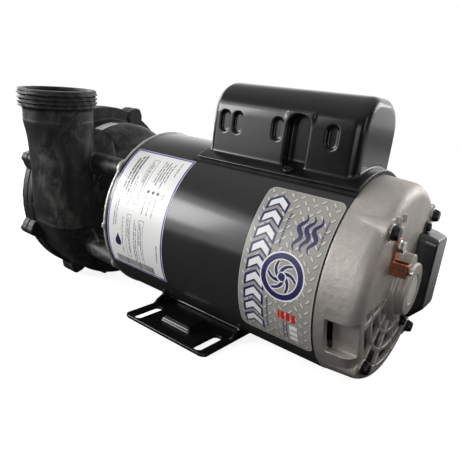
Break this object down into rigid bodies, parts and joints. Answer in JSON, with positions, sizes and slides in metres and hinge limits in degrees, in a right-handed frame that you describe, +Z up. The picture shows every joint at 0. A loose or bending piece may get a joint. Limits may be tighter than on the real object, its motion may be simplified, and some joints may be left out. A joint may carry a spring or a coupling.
{
  "type": "pool pump",
  "caption": "Close-coupled pool and spa circulation pump: black tube motor on a pressed foot, capacitor cover on top, moulded side-discharge wet end.",
  "frame": {"origin": "centre of the foot's bottom face, midway between the four mounting slots, directly below the shaft axis", "axes": "+X along the shaft from the wet end to the rear end bell, +Z up, discharge riser on the -Y side"},
  "size_m": [0.439, 0.2226, 0.2402],
  "materials": {
    "shell_black": "satin black enamel on rolled steel",
    "foot_black": "gloss black enamel on pressed steel",
    "cover_black": "satin black enamel on drawn steel",
    "cast_aluminium": "grey die-cast aluminium, fine speckle",
    "bracket_aluminium": "machined and cast aluminium",
    "wet_end_plastic": "glass-filled black plastic with mottled grey flow marks",
    "impeller_plastic": "moulded black plastic",
    "steel_bright": "ground steel",
    "steel_zinc": "zinc-plated steel",
    "steel_black": "black oxide steel",
    "stainless": "stainless steel",
    "copper": "bare copper, lightly tarnished",
    "copper_wire": "varnished copper wire",
    "lamination": "stacked electrical steel",
    "rubber_black": "moulded black rubber",
    "seal_ceramic": "lapped white ceramic",
    "seal_carbon": "lapped carbon graphite",
    "cap_cream": "moulded cream plastic",
    "terminal_black": "moulded black plastic with a low gloss",
    "board_brown": "phenolic board with plated tabs",
    "can_grey": "drawn aluminium can",
    "lead_insulation": "soft insulated wire",
    "label_white": "printed white label, satin",
    "badge_print": "printed badge with a tread-plate pattern, satin"
  },
  "bodies": {
    "motor_frame": {"motor_shell": "shell_black", "front_bracket": "bracket_aluminium", "front_bearing_outer_race": "steel_bright", "rear_bearing_outer_race": "steel_bright", "stator_core": "lamination", "stator_windings": "copper_wire", "rear_endbell": "cast_aluminium", "wave_washer": "steel_bright", "hub_cap": "cap_cream", "through_bolts": "steel_black", "through_bolt_washers": "steel_zinc", "foot_base": "foot_black", "capacitor_cover": "cover_black", "cover_gasket": "rubber_black", "capacitor_cover_screws": "steel_black", "start_capacitor": "terminal_black", "run_capacitor": "can_grey", "capacitor_leads": "lead_insulation", "rating_label": "label_white", "badge_label": "badge_print", "terminal_cover": "terminal_black", "terminal_cover_screws": "steel_black", "terminal_board": "board_brown", "start_switch": "board_brown", "ground_lug": "copper", "ground_lug_screw": "steel_zinc", "volute_housing": "wet_end_plastic", "suction_cover": "wet_end_plastic", "wear_ring": "stainless", "cover_oring": "rubber_black", "cover_screws": "stainless", "volute_bolts": "steel_zinc", "seal_seat_cup": "rubber_black", "seal_ceramic_seat": "seal_ceramic", "spec_sticker": "label_white"},
    "rotor": {"shaft": "stainless", "rotor_core": "lamination", "rotor_front_ring": "cast_aluminium", "rotor_rear_ring": "cast_aluminium", "front_bearing_inner_race": "steel_bright", "rear_bearing_inner_race": "steel_bright", "governor_plate": "steel_zinc", "governor_weights": "steel_zinc", "impeller": "impeller_plastic", "seal_carbon_head": "seal_carbon", "seal_spring": "stainless", "slinger": "rubber_black"},
    "governor_collar": {"governor_collar": "impeller_plastic"},
    "front_ball_set": {"front_bearing_balls": "steel_bright", "front_bearing_cage": "steel_zinc"},
    "rear_ball_set": {"rear_bearing_balls": "steel_bright", "rear_bearing_cage": "steel_zinc"},
    "clamp_screw": {"ground_clamp_screw": "steel_zinc"},
    "drain": {"drain_plug": "impeller_plastic", "drain_plug_oring": "rubber_black"}
  },
  "joints": [
    {"name": "shaft_spin", "type": "hinge", "parent": "motor_frame", "child": "rotor", "pos_m": [0, 0, 0.0889], "axis": [1, 0, 0], "continuous": true},
    {"name": "front_balls_spin", "type": "hinge", "parent": "motor_frame", "child": "front_ball_set", "pos_m": [-0.074, 0, 0.0889], "axis": [1, 0, 0], "continuous": true},
    {"name": "rear_balls_spin", "type": "hinge", "parent": "motor_frame", "child": "rear_ball_set", "pos_m": [0.154, 0, 0.0889], "axis": [1, 0, 0], "continuous": true},
    {"name": "governor_slide", "type": "slide", "parent": "rotor", "child": "governor_collar", "axis": [1, 0, 0], "range_m": [-0.004, 0]},
    {"name": "clamp_screw_slide", "type": "slide", "parent": "motor_frame", "child": "clamp_screw", "axis": [1, 0, 0], "range_m": [0, 0.004]},
    {"name": "drain_slide", "type": "slide", "parent": "motor_frame", "child": "drain", "axis": [0, -0.1045, -0.9945], "range_m": [0, 0.02]}
  ],
  "couplings": [
    {"joint": "front_balls_spin", "follows": "shaft_spin", "ratio": 0.381},
    {"joint": "rear_balls_spin", "follows": "shaft_spin", "ratio": 0.381}
  ]
}
